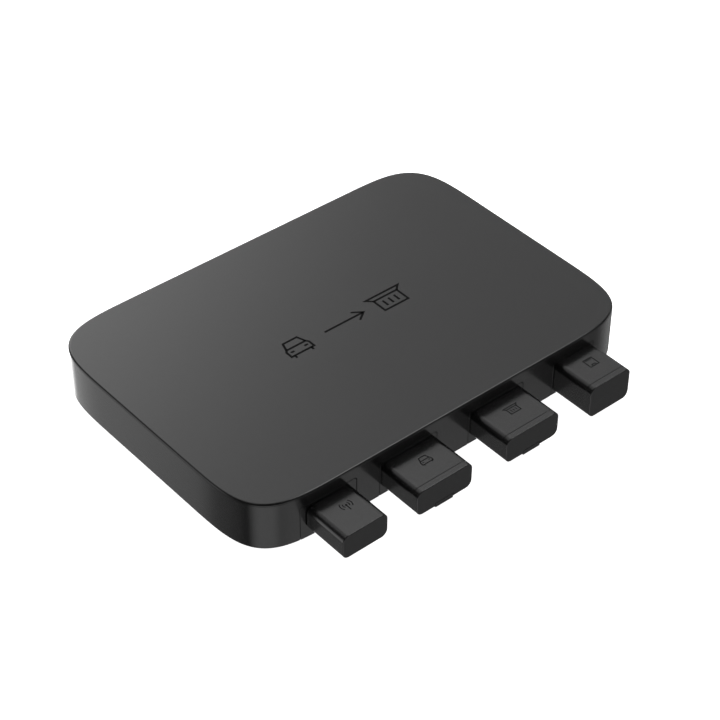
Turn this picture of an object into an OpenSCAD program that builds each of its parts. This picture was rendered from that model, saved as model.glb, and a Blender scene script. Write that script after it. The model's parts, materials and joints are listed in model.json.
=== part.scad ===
// Flat vehicle battery charger: a sealed aluminium casing with four capped ports on its front.
// X runs along the casing, -Y is the front with the ports, +Z is up.
// The origin is the middle of the underside's screw pattern, on the casing's underside.
// Every list of port values holds, in order: antenna, vehicle, station, comms.

/* [Casing] */
// Length of the casing along X
body_w = 293; // [286:1:310]
// Depth of the casing along Y
body_d = 204; // [200:1:220]
// Height of the casing without its feet
body_h = 35; // [34.5:0.5:39]
// Reach of each rounded plan corner along its two sides
corner_reach = 70; // [60:1:76]
// Squareness of the plan corners, where 2 would be plain arcs
corner_power = 4.5; // [4:0.5:5]
// Thickness of the side walls
wall = 3.5; // [3.5:0.1:4]
// Thickness of the bottom plate
floor_t = 3; // [2.5:0.1:3.5]
// Size of the bevel along the casing's bottom edge
bottom_bevel = 2.5; // [1.5:0.1:2.5]
// Thickness of the cover plate's edge
cover_t = 1.5; // [1.3:0.1:2]
// Size of the bevel along the cover's edge
top_bevel = 0.8; // [0.4:0.1:1]
// Height of the fine joint under the cover's edge
seam_h = 0.1; // [0.1:0.05:0.3]
// Depth of the joint
seam_depth = 1; // [0.6:0.1:1.2]

/* [Underside] */
// How far the rubber feet stand out
foot_h = 1; // [0.8:0.1:3]
// Radius of a foot
foot_r = 9; // [7:0.5:10]
// Distance between the mounting holes along X
mount_dx = 200; // [190:1:210]
// Distance between the mounting holes along Y
mount_dy = 120; // [112:1:126]
// Radius of the threaded hole in a mounting insert
mount_hole_r = 2.1; // [1.6:0.05:2.6]

/* [Ports] */
// Middle of each port along X
port_x = [-95.6, -37.1, 30.9, 94.4]; // [-100:0.1:100]
// Width of each cap
cap_w = [32.2, 41.5, 41.5, 32.9]; // [32:0.1:42]
// Height of each cap
cap_h = [16.8, 17.8, 17.8, 22.5]; // [16.8:0.1:22.5]
// Height of each cap's middle above the underside
cap_z = [16.2, 15.9, 15.9, 14.65]; // [14.5:0.05:16.5]
// How far the caps stand out of the front wall
cap_out = 31.1; // [29:0.1:34]
// Radius of the caps' long edges
cap_r = 4.5; // [3:0.1:5]
// Wall thickness of a cap
cap_wall = 1.8; // [1.6:0.1:2]
// Length of the separate end piece of a cap
end_len = 4; // [3.5:0.1:5]
// Width of each port's bezel
bezel_w = [39.9, 43.2, 43.2, 34.6]; // [34:0.1:44]
// Height of the bezels' top edge
bezel_top = 26.5; // [26.1:0.1:27.5]
// Height of the recess along the underside's front edge, below the ports
sill_h = 1.5; // [1:0.1:2]
// Width of each cap's nose
nose_w = [23.4, 30, 30, 11.4]; // [11:0.1:31]
// Height of each cap's nose
nose_h = [9.4, 8.8, 8.8, 6.2]; // [6:0.1:9.4]
// Length of a nose
nose_len = 16; // [15:0.5:16]

/* [Latches] */
// Width of a release latch
latch_w = 13.4; // [12:0.1:14]
// Thickness of a release latch
latch_t = 2; // [1.8:0.1:2]
// How far the latch's finger lip stands below its cap
lip_h = 0.9; // [0.5:0.1:1.2]

/* [Circuit] */
// Height of the main board's underside
board_z = 9; // [8.6:0.1:9.5]
// Thickness of the main board
board_t = 1.6; // [1.2:0.1:2]
// Height of the tallest components
part_h = 15; // [12:0.5:16]

/* [Hidden] */
$fn = 48;

ANTENNA = 0;
VEHICLE = 1;
STATION = 2;
COMMS = 3;
over = 1;            // how far a cut runs past the face it opens
side = [-1, 1];
corner_steps = 16;
slab_skin = 0.05;    // straight stretch at each end of a tapered slab

// Casing levels and edges
rim_z = body_h - cover_t - seam_h;
front_y = -body_d / 2;
inner_y = front_y + wall;
gasket_inset = 1.6;
gasket_w = 1.3;
gasket_depth = 1.3;
step_t = 1.5;
step_play = 0.2;
ledge_w = 1.5;
ledge_t = 1.5;

// Screws: M3 with pan heads
screw_r = 1.5;
screw_hole_r = 1.7;
head_r = 2.9;
head_h = 2;
counterbore_r = 3.2;
counterbore_h = 4;
hex_r = 1.25;
hex_depth = 1.2;
post_r = 5;
post_in = [19.5, 21];          // from the casing's faces to the corner posts
front_post = [-3, front_y + 11.5];
back_post = [0, body_d / 2 - 11];
post_spots = [for (sx = side, sy = side) [sx * (body_w / 2 - post_in[0]), sy * (body_d / 2 - post_in[1])],
    front_post, back_post];
cover_boss_h = 8;
cover_boss_r = 4;
foot_recess = 1;
foot_in = [36, 20];            // from the casing's faces to the feet
foot_spots = [for (sx = side, sy = side) [sx * (body_w / 2 - foot_in[0]), sy * (body_d / 2 - foot_in[1])]];
mount_spots = [for (sx = side, sy = side) [sx * mount_dx / 2, sy * mount_dy / 2]];
insert_r = 3.6;
insert_len = 7;
insert_boss_r = 5.5;

// Ports: a cap stands cap_gap off its bezel, and its nose has port_play all round it
cap_gap = 0.3;
port_play = 0.3;
seam_w = 0.2;
cap_front = front_y - cap_out;
cap_back = front_y - cap_gap;
nose_tip = cap_back + nose_len;
nose_dz = [0, 0, 0, -1.2];
nose_r = 1.5;
flange_t = 4;
socket_wall = 2;
socket_len = 20;
socket_back = inner_y + socket_len;
socket_floor = nose_tip + 2;   // leaves room past the nose's tip
wire_room = 1.6;               // above the data port's nose, for its spring wires
seal_y = front_y + 3.6;
seal_w = 1.6;
seal_depth = 1.2;
groove_play = 0.5;
bezel_r = 2;
rim_len = 2.5;                 // the end pieces' rims
rim_wall = 1.2;

// Contacts
pin_r = [3.15, 2.5, 2.5, 0];
pin_dx = [[0], [-8, 8], [-9.5, 9.5], []];
pin_play = 0.45;
pin_engage = 9.7;              // how far the pins reach into a nose
pin_tip = nose_tip - pin_engage;
pin_tail = socket_back + 2.5;
signal_r = 0.8;
signal_dx = [-2, 2];
wire_count = 8;
wire_pitch = 1.27;
wire_t = 0.5;
wire_lift = 0.6;
wire_foot = 4;                 // from the main board's front edge to the wires' feet

// Latches: each swings on a pin in its cap and lifts its hook when the lip is pulled down
latch_play = 0.3;
latch_slot_w = latch_w + 2 * latch_play;
latch_lift = 0.2;
pivot_y = front_y - 12;
pivot_dz = 2.4;
hub_r = 2.2;
pin_hinge_r = 1;
pin_hinge_play = 0.05;
hook_w = latch_w - 4;
hook_y = front_y - 1.4;
hook_reach = 2.2;
pocket_depth = 2.6;
pocket_rise = 3.4;
ear_t = 2;
ear_r = 2.4;

// Circuit levels
board_top = board_z + board_t;
board_w = 240;
board_y0 = -72;
board_y1 = 86;
board_spots = [for (x = [-112, 0, 112], y = [-62, 78]) [x, y]];
board_boss_r = 3.5;
board_pilot_r = 1.25;

// ---- shared shapes ----

function signed_pow(v, p) = sign(v) * pow(abs(v), p);

// Points of the casing's plan, moved inwards by inset; each corner is a superellipse quarter
function casing_outline(inset) = let (
    reach = corner_reach - inset,
    flat_x = body_w / 2 - corner_reach,
    flat_y = body_d / 2 - corner_reach
) [for (quarter = [0:3], i = [0:corner_steps]) let (
    angle = 90 * (quarter + i / corner_steps),
    sx = (quarter == 0 || quarter == 3) ? 1 : -1,
    sy = quarter < 2 ? 1 : -1,
    px = signed_pow(cos(angle), 2 / corner_power),
    py = signed_pow(sin(angle), 2 / corner_power)
) [sx * flat_x + reach * px, sy * flat_y + reach * py]];

// A slice of the casing's plan between two heights
module casing_slab(inset, z0, z1) {
    translate([0, 0, z0]) linear_extrude(z1 - z0) polygon(casing_outline(inset));
}

// A ring that follows the casing's plan
module casing_ring(inset, width, z0, z1) {
    difference() {
        casing_slab(inset, z0, z1);
        casing_slab(inset + width, z0 - over, z1 + over);
    }
}

module rounded_rect(w, h, r) {
    square([w - 2 * r, h], center = true);
    square([w, h - 2 * r], center = true);
    for (sx = side, sy = side)
        translate([sx * (w / 2 - r), sy * (h / 2 - r)]) circle(r);
}

// A rounded bar along Y, from y0 to y1, round the line x, z
module y_bar(w, h, r, x, z, y0, y1) {
    translate([x, y1, z]) rotate([90, 0, 0]) linear_extrude(y1 - y0) rounded_rect(w, h, r);
}

// A round rod along Y
module y_rod(r, x, z, y0, y1) {
    translate([x, y1, z]) rotate([90, 0, 0]) cylinder(h = y1 - y0, r = r);
}

// A round rod along X, centred on x
module x_rod(r, len, x, y, z) {
    translate([x - len / 2, y, z]) rotate([0, 90, 0]) cylinder(h = len, r = r);
}

// A box given by its width along X, its middle x and its other limits
module box_at(w, x, y0, y1, z0, z1) {
    translate([x - w / 2, y0, z0]) cube([w, y1 - y0, z1 - z0]);
}

module at_spots(spots) {
    for (spot = spots) translate([spot[0], spot[1], 0]) children();
}

// ---- casing ----

// A slab whose outline is moved inwards by one inset at its foot and by another at its top
module tapered_slab(inset0, inset1, z0, z1) {
    hull() {
        casing_slab(inset0, z0, z0 + slab_skin);
        casing_slab(inset1, z1 - slab_skin, z1);
    }
}

// The casing's outer form below the cover, with its bottom edge bevelled
module casing_block() {
    tapered_slab(bottom_bevel, 0, 0, bottom_bevel + slab_skin);
    casing_slab(0, bottom_bevel, rim_z);
}

// Near the corners the wall stands behind its bezel's back, and is cleared square there
module behind_bezel(i, past, z0, z1) {
    box_at(bezel_w[i] - 2 * bezel_r, port_x[i], inner_y - past, inner_y + wall, z0, z1);
}

// The recess along the front's lower edge, from the first bezel to the last
module front_recess() {
    x0 = port_x[ANTENNA] - bezel_w[ANTENNA] / 2;
    x1 = port_x[COMMS] + bezel_w[COMMS] / 2;
    box_at(x1 - x0, (x0 + x1) / 2, front_y - over, inner_y, -over, sill_h);
}

// The wall all round, with a ledge that the bottom plate is screwed up against
module side_frame() {
    color("#3b3c3e") difference() {
        union() {
            difference() {
                casing_block();
                casing_slab(wall, -over, rim_z + over);
            }
            casing_ring(wall / 2, wall / 2 + ledge_w, floor_t, floor_t + ledge_t);
        }
        casing_ring(gasket_inset, gasket_w, rim_z - gasket_depth, rim_z + over);
        front_recess();
        for (i = [ANTENNA:COMMS]) {
            bezel_blank(i, over);
            behind_bezel(i, over, -over, bezel_top - bezel_r);
        }
    }
}

module bottom_plate() {
    color("#3b3c3e") difference() {
        union() {
            casing_slab(wall, 0, floor_t);
            for (i = [ANTENNA:COMMS]) behind_bezel(i, 0, 0, floor_t);
            at_spots(post_spots) cylinder(h = rim_z - cover_boss_h, r = post_r);
            at_spots(board_spots) cylinder(h = board_z, r = board_boss_r);
            at_spots(mount_spots) cylinder(h = insert_len + over, r = insert_boss_r);
        }
        at_spots(post_spots) {
            translate([0, 0, -over]) cylinder(h = rim_z, r = screw_hole_r);
            translate([0, 0, -over]) cylinder(h = counterbore_h + over, r = counterbore_r);
        }
        at_spots(board_spots)
            translate([0, 0, floor_t]) cylinder(h = board_z, r = board_pilot_r);
        at_spots(mount_spots) translate([0, 0, -over]) cylinder(h = insert_len + over, r = insert_r);
        at_spots(foot_spots) translate([0, 0, -over]) cylinder(h = foot_recess + over, r = foot_r);
    }
}

// The cover plate rests on the frame's rim, and its thicker middle fits inside the wall
module top_cover() {
    color("#4a4b4d") difference() {
        union() {
            casing_slab(0, rim_z + seam_h, body_h - top_bevel);
            tapered_slab(0, top_bevel, body_h - top_bevel - slab_skin, body_h);
            casing_slab(seam_depth, rim_z, rim_z + seam_h);
            casing_slab(wall + step_play, rim_z - step_t, rim_z);
            at_spots(post_spots)
                translate([0, 0, rim_z - cover_boss_h]) cylinder(h = cover_boss_h, r = cover_boss_r);
        }
        at_spots(post_spots)
            translate([0, 0, rim_z - cover_boss_h - over]) cylinder(h = cover_boss_h, r = screw_r);
    }
}

module cover_gasket() {
    color("#151515") casing_ring(gasket_inset, gasket_w, rim_z - gasket_depth, rim_z);
}

module cover_screws() {
    color("#2b2b2d") at_spots(post_spots) difference() {
        union() {
            translate([0, 0, counterbore_h - head_h]) cylinder(h = head_h, r = head_r);
            translate([0, 0, counterbore_h])
                cylinder(h = rim_z - counterbore_h - over, r = screw_r);
        }
        translate([0, 0, counterbore_h - head_h - over])
            cylinder(h = over + hex_depth, r = hex_r, $fn = 6);
    }
}

module rubber_feet() {
    color("#1c1c1c") at_spots(foot_spots)
        translate([0, 0, -foot_h]) cylinder(h = foot_h + foot_recess, r = foot_r);
}

module mount_inserts() {
    color("#b89b58") at_spots(mount_spots) difference() {
        cylinder(h = insert_len, r = insert_r);
        translate([0, 0, -over]) cylinder(h = insert_len + 2 * over, r = mount_hole_r);
    }
}

// ---- bezels and sockets ----

function nose_z(i) = cap_z[i] + nose_dz[i];

// A bezel's block in the front wall, square below and rounded above
module bezel_blank(i, past) {
    translate([port_x[i], inner_y, 0]) rotate([90, 0, 0]) linear_extrude(wall + past) {
        translate([-bezel_w[i] / 2, sill_h]) square([bezel_w[i], bezel_top - bezel_r - sill_h]);
        translate([bezel_r - bezel_w[i] / 2, sill_h])
            square([bezel_w[i] - 2 * bezel_r, bezel_top - sill_h]);
        for (sx = side)
            translate([sx * (bezel_w[i] / 2 - bezel_r), bezel_top - bezel_r]) circle(bezel_r);
    }
}

// The space that a cap's nose goes into, between y0 and y1
module nose_room(i, y0, y1) {
    y_bar(nose_w[i] + 2 * port_play, nose_h[i] + 2 * port_play, nose_r, port_x[i], nose_z(i), y0, y1);
}

// A bezel's face follows the casing's wall, which curves away towards the corners
module port_bezel(i, with_latch = false) {
    color("#2a2a2c") difference() {
        intersection() {
            bezel_blank(i, over);
            casing_slab(0, 0, body_h);
        }
        nose_room(i, front_y - over, inner_y + over);
        if (with_latch)
            box_at(hook_w + 2 * port_play, port_x[i], front_y - over, front_y + pocket_depth,
                cap_z[i] - cap_h[i] / 2 + latch_lift - port_play, cap_z[i] - cap_h[i] / 2 + pocket_rise);
    }
}

// A socket's housing behind its bezel, open to the front
module port_socket(i, room_above = 0) {
    difference() {
        box_at(nose_w[i] + 2 * (port_play + socket_wall), port_x[i], inner_y, socket_back,
            nose_z(i) - nose_h[i] / 2 - port_play - socket_wall,
            nose_z(i) + nose_h[i] / 2 + port_play + socket_wall + room_above);
        nose_room(i, inner_y - over, socket_floor);
        if (room_above > 0)
            box_at(nose_w[i] - 1, port_x[i], inner_y - over, socket_floor,
                nose_z(i), nose_z(i) + nose_h[i] / 2 + port_play + room_above);
        port_pins(i);
    }
}

// The round contacts of a port
module port_pins(i) {
    for (dx = pin_dx[i]) y_rod(pin_r[i], port_x[i] + dx, nose_z(i), pin_tip, pin_tail);
    if (i == STATION)
        for (dx = signal_dx) y_rod(signal_r, port_x[i] + dx, nose_z(i), pin_tip, pin_tail);
    if (i == COMMS) contact_wires();
}

// The data port's spring wires, which run back over the main board and down to it
module contact_wires() {
    wire_z = nose_z(COMMS) + nose_h[COMMS] / 2 + port_play + wire_lift;
    foot_y = board_y0 + wire_foot;
    for (n = [0:wire_count - 1]) {
        wire_x = port_x[COMMS] + (n - (wire_count - 1) / 2) * wire_pitch;
        box_at(wire_t, wire_x, pin_tip, foot_y, wire_z, wire_z + wire_t);
        box_at(wire_t, wire_x, foot_y - wire_t, foot_y, board_top, wire_z);
    }
}

module antenna_bezel() port_bezel(ANTENNA);
module vehicle_bezel() port_bezel(VEHICLE, true);
module station_bezel() port_bezel(STATION, true);
module comms_bezel() port_bezel(COMMS);

module antenna_socket() color("#202022") port_socket(ANTENNA);
module vehicle_socket() color("#202022") port_socket(VEHICLE);
module station_socket() color("#202022") port_socket(STATION);
module comms_socket() color("#202022") port_socket(COMMS, wire_room);

module antenna_barrel() color("#c8a850") port_pins(ANTENNA);
module vehicle_pins() color("#c8a850") port_pins(VEHICLE);
module station_pins() color("#c8a850") port_pins(STATION);
module comms_contacts() color("#c8a850") contact_wires();

module antenna_nut() {
    nut_r = 5;
    nut_t = 2.2;
    color("#c9b57a") difference() {
        translate([port_x[ANTENNA], socket_back + nut_t, nose_z(ANTENNA)])
            rotate([90, 0, 0]) cylinder(h = nut_t, r = nut_r, $fn = 6);
        port_pins(ANTENNA);
    }
}

// ---- caps ----

// A cap's outer form between y0 and y1, moved inwards by inset
module cap_form(i, inset, y0, y1) {
    y_bar(cap_w[i] - 2 * inset, cap_h[i] - 2 * inset, cap_r - inset, port_x[i], cap_z[i], y0, y1);
}

function cap_bottom(i) = cap_z[i] - cap_h[i] / 2;

// The slot for the latch along a cap's underside, up to a height above the cap's bottom
module latch_slot(i, rise, y0, y1) {
    box_at(latch_slot_w, port_x[i], y0, y1, cap_bottom(i) - over, cap_bottom(i) + rise);
}

module cap_shell(i, with_latch = false) {
    color("#2c2c2e") {
        difference() {
            union() {
                difference() {
                    cap_form(i, 0, cap_front + end_len + seam_w, cap_back);
                    cap_form(i, cap_wall, cap_front, cap_back + over);
                }
                if (with_latch) latch_ears(i);
            }
            if (with_latch) {
                latch_slot(i, cap_wall + over, cap_front, cap_back + over);
                x_rod(pin_hinge_r, latch_slot_w + 2 * (ear_t + over), port_x[i], pivot_y,
                    cap_bottom(i) + pivot_dz);
            }
        }
    }
}

// The two lugs in a cap that hold the latch's hinge pin
module latch_ears(i) {
    for (sx = side)
        box_at(ear_t, port_x[i] + sx * (latch_slot_w + ear_t) / 2, pivot_y - ear_r, pivot_y + ear_r,
            cap_bottom(i) + over, cap_bottom(i) + pivot_dz + ear_r);
}

// The end piece, with a rim that plugs into the shell
module cap_end(i, with_latch = false) {
    color("#2f2f31") difference() {
        union() {
            cap_form(i, 0, cap_front, cap_front + end_len);
            cap_form(i, cap_wall, cap_front + over, cap_front + end_len + rim_len);
        }
        cap_form(i, cap_wall + rim_wall, cap_front + cap_wall, cap_back);
        if (with_latch)
            latch_slot(i, latch_lift + latch_t + latch_play, cap_front - over, cap_back);
    }
}

// The insulating plug in a cap: a flange inside the shell and a nose that enters the socket
module cap_insert(i, with_latch = false) {
    color("#19191a") difference() {
        union() {
            cap_form(i, cap_wall, cap_back - flange_t, cap_back);
            y_bar(nose_w[i], nose_h[i], nose_r, port_x[i], nose_z(i), cap_back - over, nose_tip);
        }
        seal_ring(i, groove_play);
        for (dx = pin_dx[i])
            y_rod(pin_r[i] + pin_play, port_x[i] + dx, nose_z(i), pin_tip - over, nose_tip + over);
        if (i == STATION)
            for (dx = signal_dx)
                y_rod(signal_r + pin_play, port_x[i] + dx, nose_z(i), pin_tip - over, nose_tip + over);
        if (with_latch) latch_slot(i, pocket_rise, cap_front, cap_back + over);
    }
}

// The seal round a nose; past widens it outwards, to cut its groove
module seal_ring(i, past = 0) {
    difference() {
        y_bar(nose_w[i] + 2 * past, nose_h[i] + 2 * past, nose_r + past, port_x[i], nose_z(i),
            seal_y, seal_y + seal_w);
        y_bar(nose_w[i] - 2 * seal_depth, nose_h[i] - 2 * seal_depth, nose_r - seal_depth,
            port_x[i], nose_z(i), seal_y - over, seal_y + seal_w + over);
    }
}

module latch(i) {
    z0 = cap_bottom(i) + latch_lift;
    color("#2f2f31") difference() {
        union() {
            box_at(latch_w, port_x[i], cap_front, hook_y, z0, z0 + latch_t);
            box_at(hook_w, port_x[i], hook_y - over, front_y + hook_reach, z0, z0 + latch_t);
            box_at(latch_w, port_x[i], cap_front, cap_front + end_len,
                cap_bottom(i) - lip_h, z0 + over);
            x_rod(hub_r, latch_w, port_x[i], pivot_y, cap_bottom(i) + pivot_dz);
        }
        x_rod(pin_hinge_r + pin_hinge_play, latch_w + 2 * over, port_x[i], pivot_y,
            cap_bottom(i) + pivot_dz);
    }
}

module latch_pin(i) {
    color("#9a9a9e")
        x_rod(pin_hinge_r, latch_slot_w + 2 * ear_t, port_x[i], pivot_y, cap_bottom(i) + pivot_dz);
}

// The antenna's shell is one piece, closed at its outer end
module antenna_cap_shell() {
    color("#2c2c2e") difference() {
        cap_form(ANTENNA, 0, cap_front, cap_back);
        cap_form(ANTENNA, cap_wall, cap_front + cap_wall, cap_back + over);
    }
}

module vehicle_cap_shell() cap_shell(VEHICLE, true);
module station_cap_shell() cap_shell(STATION, true);
module comms_cap_shell() cap_shell(COMMS);
module vehicle_cap_end() cap_end(VEHICLE, true);
module station_cap_end() cap_end(STATION, true);
module comms_cap_end() cap_end(COMMS);
module antenna_cap_insert() cap_insert(ANTENNA);
module vehicle_cap_insert() cap_insert(VEHICLE, true);
module station_cap_insert() cap_insert(STATION, true);
module comms_cap_insert() cap_insert(COMMS);
module antenna_cap_seal() color("#a04a30") seal_ring(ANTENNA);
module vehicle_cap_seal() color("#a04a30") seal_ring(VEHICLE);
module station_cap_seal() color("#a04a30") seal_ring(STATION);
module comms_cap_seal() color("#a04a30") seal_ring(COMMS);
module vehicle_latch() latch(VEHICLE);
module station_latch() latch(STATION);
module vehicle_latch_pin() latch_pin(VEHICLE);
module station_latch_pin() latch_pin(STATION);

// The antenna's own little board, standing behind its insert
module antenna_element() {
    element_w = 22;
    element_t = 1;
    element_gap = 4;
    color("#2f6b45")
        box_at(element_w, port_x[ANTENNA], cap_front + element_gap, cap_back - flange_t,
            cap_z[ANTENNA], cap_z[ANTENNA] + element_t);
}

// ---- circuit ----

module main_board() {
    color("#1f4d33") difference() {
        box_at(board_w, 0, board_y0, board_y1, board_z, board_top);
        at_spots(board_spots) translate([0, 0, board_z - over])
            cylinder(h = board_t + 2 * over, r = screw_hole_r);
    }
}

module board_screws() {
    color("#a9a9ad") at_spots(board_spots) {
        translate([0, 0, board_top]) cylinder(h = head_h, r = head_r);
        translate([0, 0, floor_t + over]) cylinder(h = board_top - floor_t, r = board_pilot_r);
    }
}

// A small board on two headers over the antenna's side of the main board
control_x = -88;
control_w = 52;
control_y0 = -64;
control_y1 = -18;
control_z = 20;
control_t = 1.2;

module control_board() {
    color("#22563a") box_at(control_w, control_x, control_y0, control_y1, control_z, control_z + control_t);
}

module board_headers() {
    header_d = 2.6;
    header_w = 40;
    color("#121212") for (y = [control_y0 + 10, control_y1 - 2 * header_d])
        box_at(header_w, control_x, y, y + header_d, board_top, control_z);
}

// A rod bent upwards: it starts along +Y below the origin and ends upright beside it
module quarter_bend(bend, r) {
    rotate([0, 90, 0]) rotate_extrude(angle = 90) translate([bend, 0]) circle(r);
}

// The antenna's coaxial lead: two quarter bends lift it onto the small board
module antenna_lead() {
    lead_r = 1.2;
    lead_gap = 0.1;
    straight = [1.5, 6];       // before and after the bends
    lead_top = control_z + control_t + lead_r + lead_gap;
    bend = (lead_top - nose_z(ANTENNA)) / 2;
    bend_y = pin_tail + straight[0];
    color("#101010") {
        y_rod(lead_r, port_x[ANTENNA], nose_z(ANTENNA), pin_tail, bend_y);
        translate([port_x[ANTENNA], bend_y, nose_z(ANTENNA) + bend]) quarter_bend(bend, lead_r);
        translate([port_x[ANTENNA], bend_y + 2 * bend, nose_z(ANTENNA) + bend])
            rotate([180, 0, 0]) quarter_bend(bend, lead_r);
        y_rod(lead_r, port_x[ANTENNA], lead_top, bend_y + 2 * bend, bend_y + 2 * bend + straight[1]);
    }
}

// Two planar transformers: pot-shaped windows hold round windings
transformer_spots = [[-46, 22], [46, 22]];
core_w = 46;
core_d = 32;
winding_r = 14;
post_core_r = 7;
window_h = 9;

module winding_ring(play) {
    difference() {
        cylinder(h = window_h - 2 * play, r = winding_r - play, center = true);
        cylinder(h = window_h + over, r = post_core_r + play, center = true);
    }
}

module transformer_cores() {
    color("#38383a") at_spots(transformer_spots) translate([0, 0, board_top + part_h / 2])
        difference() {
            cube([core_w, core_d, part_h], center = true);
            winding_ring(0);
            for (sy = side) translate([0, sy * core_d / 2, 0])
                cube([2 * winding_r - 6, core_d / 3, window_h], center = true);
        }
}

module transformer_windings() {
    color("#b5722c") at_spots(transformer_spots)
        translate([0, 0, board_top + part_h / 2]) winding_ring(0.4);
}

// Two ring chokes lying flat, each with two windings
choke_spots = [[-100, 30], [100, 30]];
choke_r = 9;
choke_section = 6;
choke_skin = 1.6;

module choke_cores() {
    color("#4c5a3c") at_spots(choke_spots)
        translate([0, 0, board_top + choke_skin + choke_section / 2]) rotate_extrude()
            translate([choke_r, 0]) square(choke_section, center = true);
}

module choke_windings() {
    outer = choke_section + 2 * choke_skin;
    span = 140;
    color("#b5722c") at_spots(choke_spots) for (start = [20, 200])
        translate([0, 0, board_top + outer / 2]) rotate([0, 0, start]) rotate_extrude(angle = span)
            translate([choke_r, 0]) difference() {
                square(outer, center = true);
                square(choke_section, center = true);
            }
}

// A row of upright capacitors, of which the first stands at start_x
module capacitor_row(r, count, start_x) {
    gap = 1;
    row_y = -34;
    for (n = [0:count - 1])
        translate([start_x + n * (2 * r + gap), row_y, board_top]) cylinder(h = part_h, r = r);
}

module input_capacitors() color("#27303c") capacitor_row(r = 5, count = 6, start_x = -52);
module output_capacitors() color("#27303c") capacitor_row(r = 6.25, count = 5, start_x = 42);

// The power transistors stand in a row against the heat spreader
row_w = 176;
spreader_y0 = 62;
spreader_y1 = 70;
pad_t = 0.5;
transistor_w = 15;
transistor_t = 5;
transistor_count = 8;
clamp_t = 2;
clamp_bite = 5;                // how far the clamp's screws enter the heat spreader
clamp_z = [board_top + 6, board_top + 12];
transistor_pitch = row_w / transistor_count;
clamp_y1 = spreader_y0 - pad_t - transistor_t;
clamp_screw_x = [-2 * transistor_pitch, 0, 2 * transistor_pitch];

module transistors() {
    color("#111111") for (n = [0:transistor_count - 1])
        box_at(transistor_w, (n + 0.5) * transistor_pitch - row_w / 2,
            clamp_y1, spreader_y0 - pad_t, board_top, board_top + part_h - 1);
}

module thermal_pad() {
    color("#9db0b8") difference() {
        box_at(row_w, 0, spreader_y0 - pad_t, spreader_y0, board_top, board_top + part_h);
        clamp_screw_shanks(screw_hole_r);
    }
}

module heat_spreader() {
    color("#a7abae") difference() {
        box_at(row_w + 6, 0, spreader_y0, spreader_y1, board_top, board_top + part_h);
        clamp_screw_shanks(screw_r);
    }
}

module clamp_screw_shanks(r) {
    for (x = clamp_screw_x)
        y_rod(r, x, (clamp_z[0] + clamp_z[1]) / 2, clamp_y1 - clamp_t, spreader_y0 + clamp_bite);
}

module transistor_clamp() {
    color("#8d9194") difference() {
        box_at(row_w, 0, clamp_y1 - clamp_t, clamp_y1, clamp_z[0], clamp_z[1]);
        clamp_screw_shanks(screw_hole_r);
    }
}

module clamp_screws() {
    color("#6f7275") {
        clamp_screw_shanks(screw_r);
        for (x = clamp_screw_x)
            y_rod(head_r, x, (clamp_z[0] + clamp_z[1]) / 2, clamp_y1 - clamp_t - head_h, clamp_y1 - clamp_t);
    }
}

// Copper bars from a socket's pins down to the main board
module busbars(i) {
    bar_w = 8;
    bar_t = 1.5;
    bar_end = board_y0 + 14;
    bar_z = nose_z(i) - pin_r[i];
    color("#c27a3a") for (dx = pin_dx[i]) {
        box_at(bar_w, port_x[i] + dx, pin_tail, pin_tail + bar_t, bar_z, nose_z(i) + pin_r[i]);
        box_at(bar_w, port_x[i] + dx, pin_tail, bar_end, bar_z, bar_z + bar_t);
        box_at(bar_w, port_x[i] + dx, bar_end - bar_t, bar_end, board_top, bar_z + bar_t);
    }
}

module vehicle_busbars() busbars(VEHICLE);
module station_busbars() busbars(STATION);

// A block fuse between two solder tabs
module input_fuse() {
    fuse_x = -37;
    fuse_y0 = -52;
    fuse_w = 26;
    fuse_size = 9;
    tab_w = 5;
    tab_t = 2;
    tab_dx = (fuse_w + tab_w) / 2;
    color("#6a7f96")
        box_at(fuse_w, fuse_x, fuse_y0, fuse_y0 + fuse_size, board_top, board_top + fuse_size);
    color("#b9bcc0") for (sx = side)
        box_at(tab_w, fuse_x + sx * tab_dx, fuse_y0 + tab_t, fuse_y0 + tab_t + tab_w,
            board_top, board_top + tab_t);
}

// A flat measuring resistor that bridges the board on two feet
module current_shunt() {
    shunt_x = 31;
    shunt_y0 = -50;
    shunt_w = 24;
    shunt_d = 5;
    shunt_t = 1.5;
    rise = 2;
    color("#a8a29a") {
        box_at(shunt_w, shunt_x, shunt_y0, shunt_y0 + shunt_d, board_top + rise, board_top + rise + shunt_t);
        for (sx = side)
            box_at(shunt_d, shunt_x + sx * (shunt_w - shunt_d) / 2, shunt_y0, shunt_y0 + shunt_d,
                board_top, board_top + rise + shunt_t / 2);
    }
}

side_frame();
bottom_plate();
top_cover();
cover_gasket();
cover_screws();
rubber_feet();
mount_inserts();
antenna_bezel();
vehicle_bezel();
station_bezel();
comms_bezel();
antenna_socket();
vehicle_socket();
station_socket();
comms_socket();
antenna_barrel();
antenna_nut();
vehicle_pins();
station_pins();
comms_contacts();
antenna_cap_shell();
vehicle_cap_shell();
station_cap_shell();
comms_cap_shell();
vehicle_cap_end();
station_cap_end();
comms_cap_end();
antenna_cap_insert();
vehicle_cap_insert();
station_cap_insert();
comms_cap_insert();
antenna_cap_seal();
vehicle_cap_seal();
station_cap_seal();
comms_cap_seal();
vehicle_latch();
station_latch();
vehicle_latch_pin();
station_latch_pin();
antenna_element();
main_board();
board_screws();
control_board();
board_headers();
transformer_cores();
transformer_windings();
choke_cores();
choke_windings();
input_capacitors();
output_capacitors();
transistors();
heat_spreader();
thermal_pad();
transistor_clamp();
clamp_screws();
vehicle_busbars();
station_busbars();
input_fuse();
current_shunt();
antenna_lead();
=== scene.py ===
import json
import math

import bmesh
import bpy
from mathutils import Matrix, Vector


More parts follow.
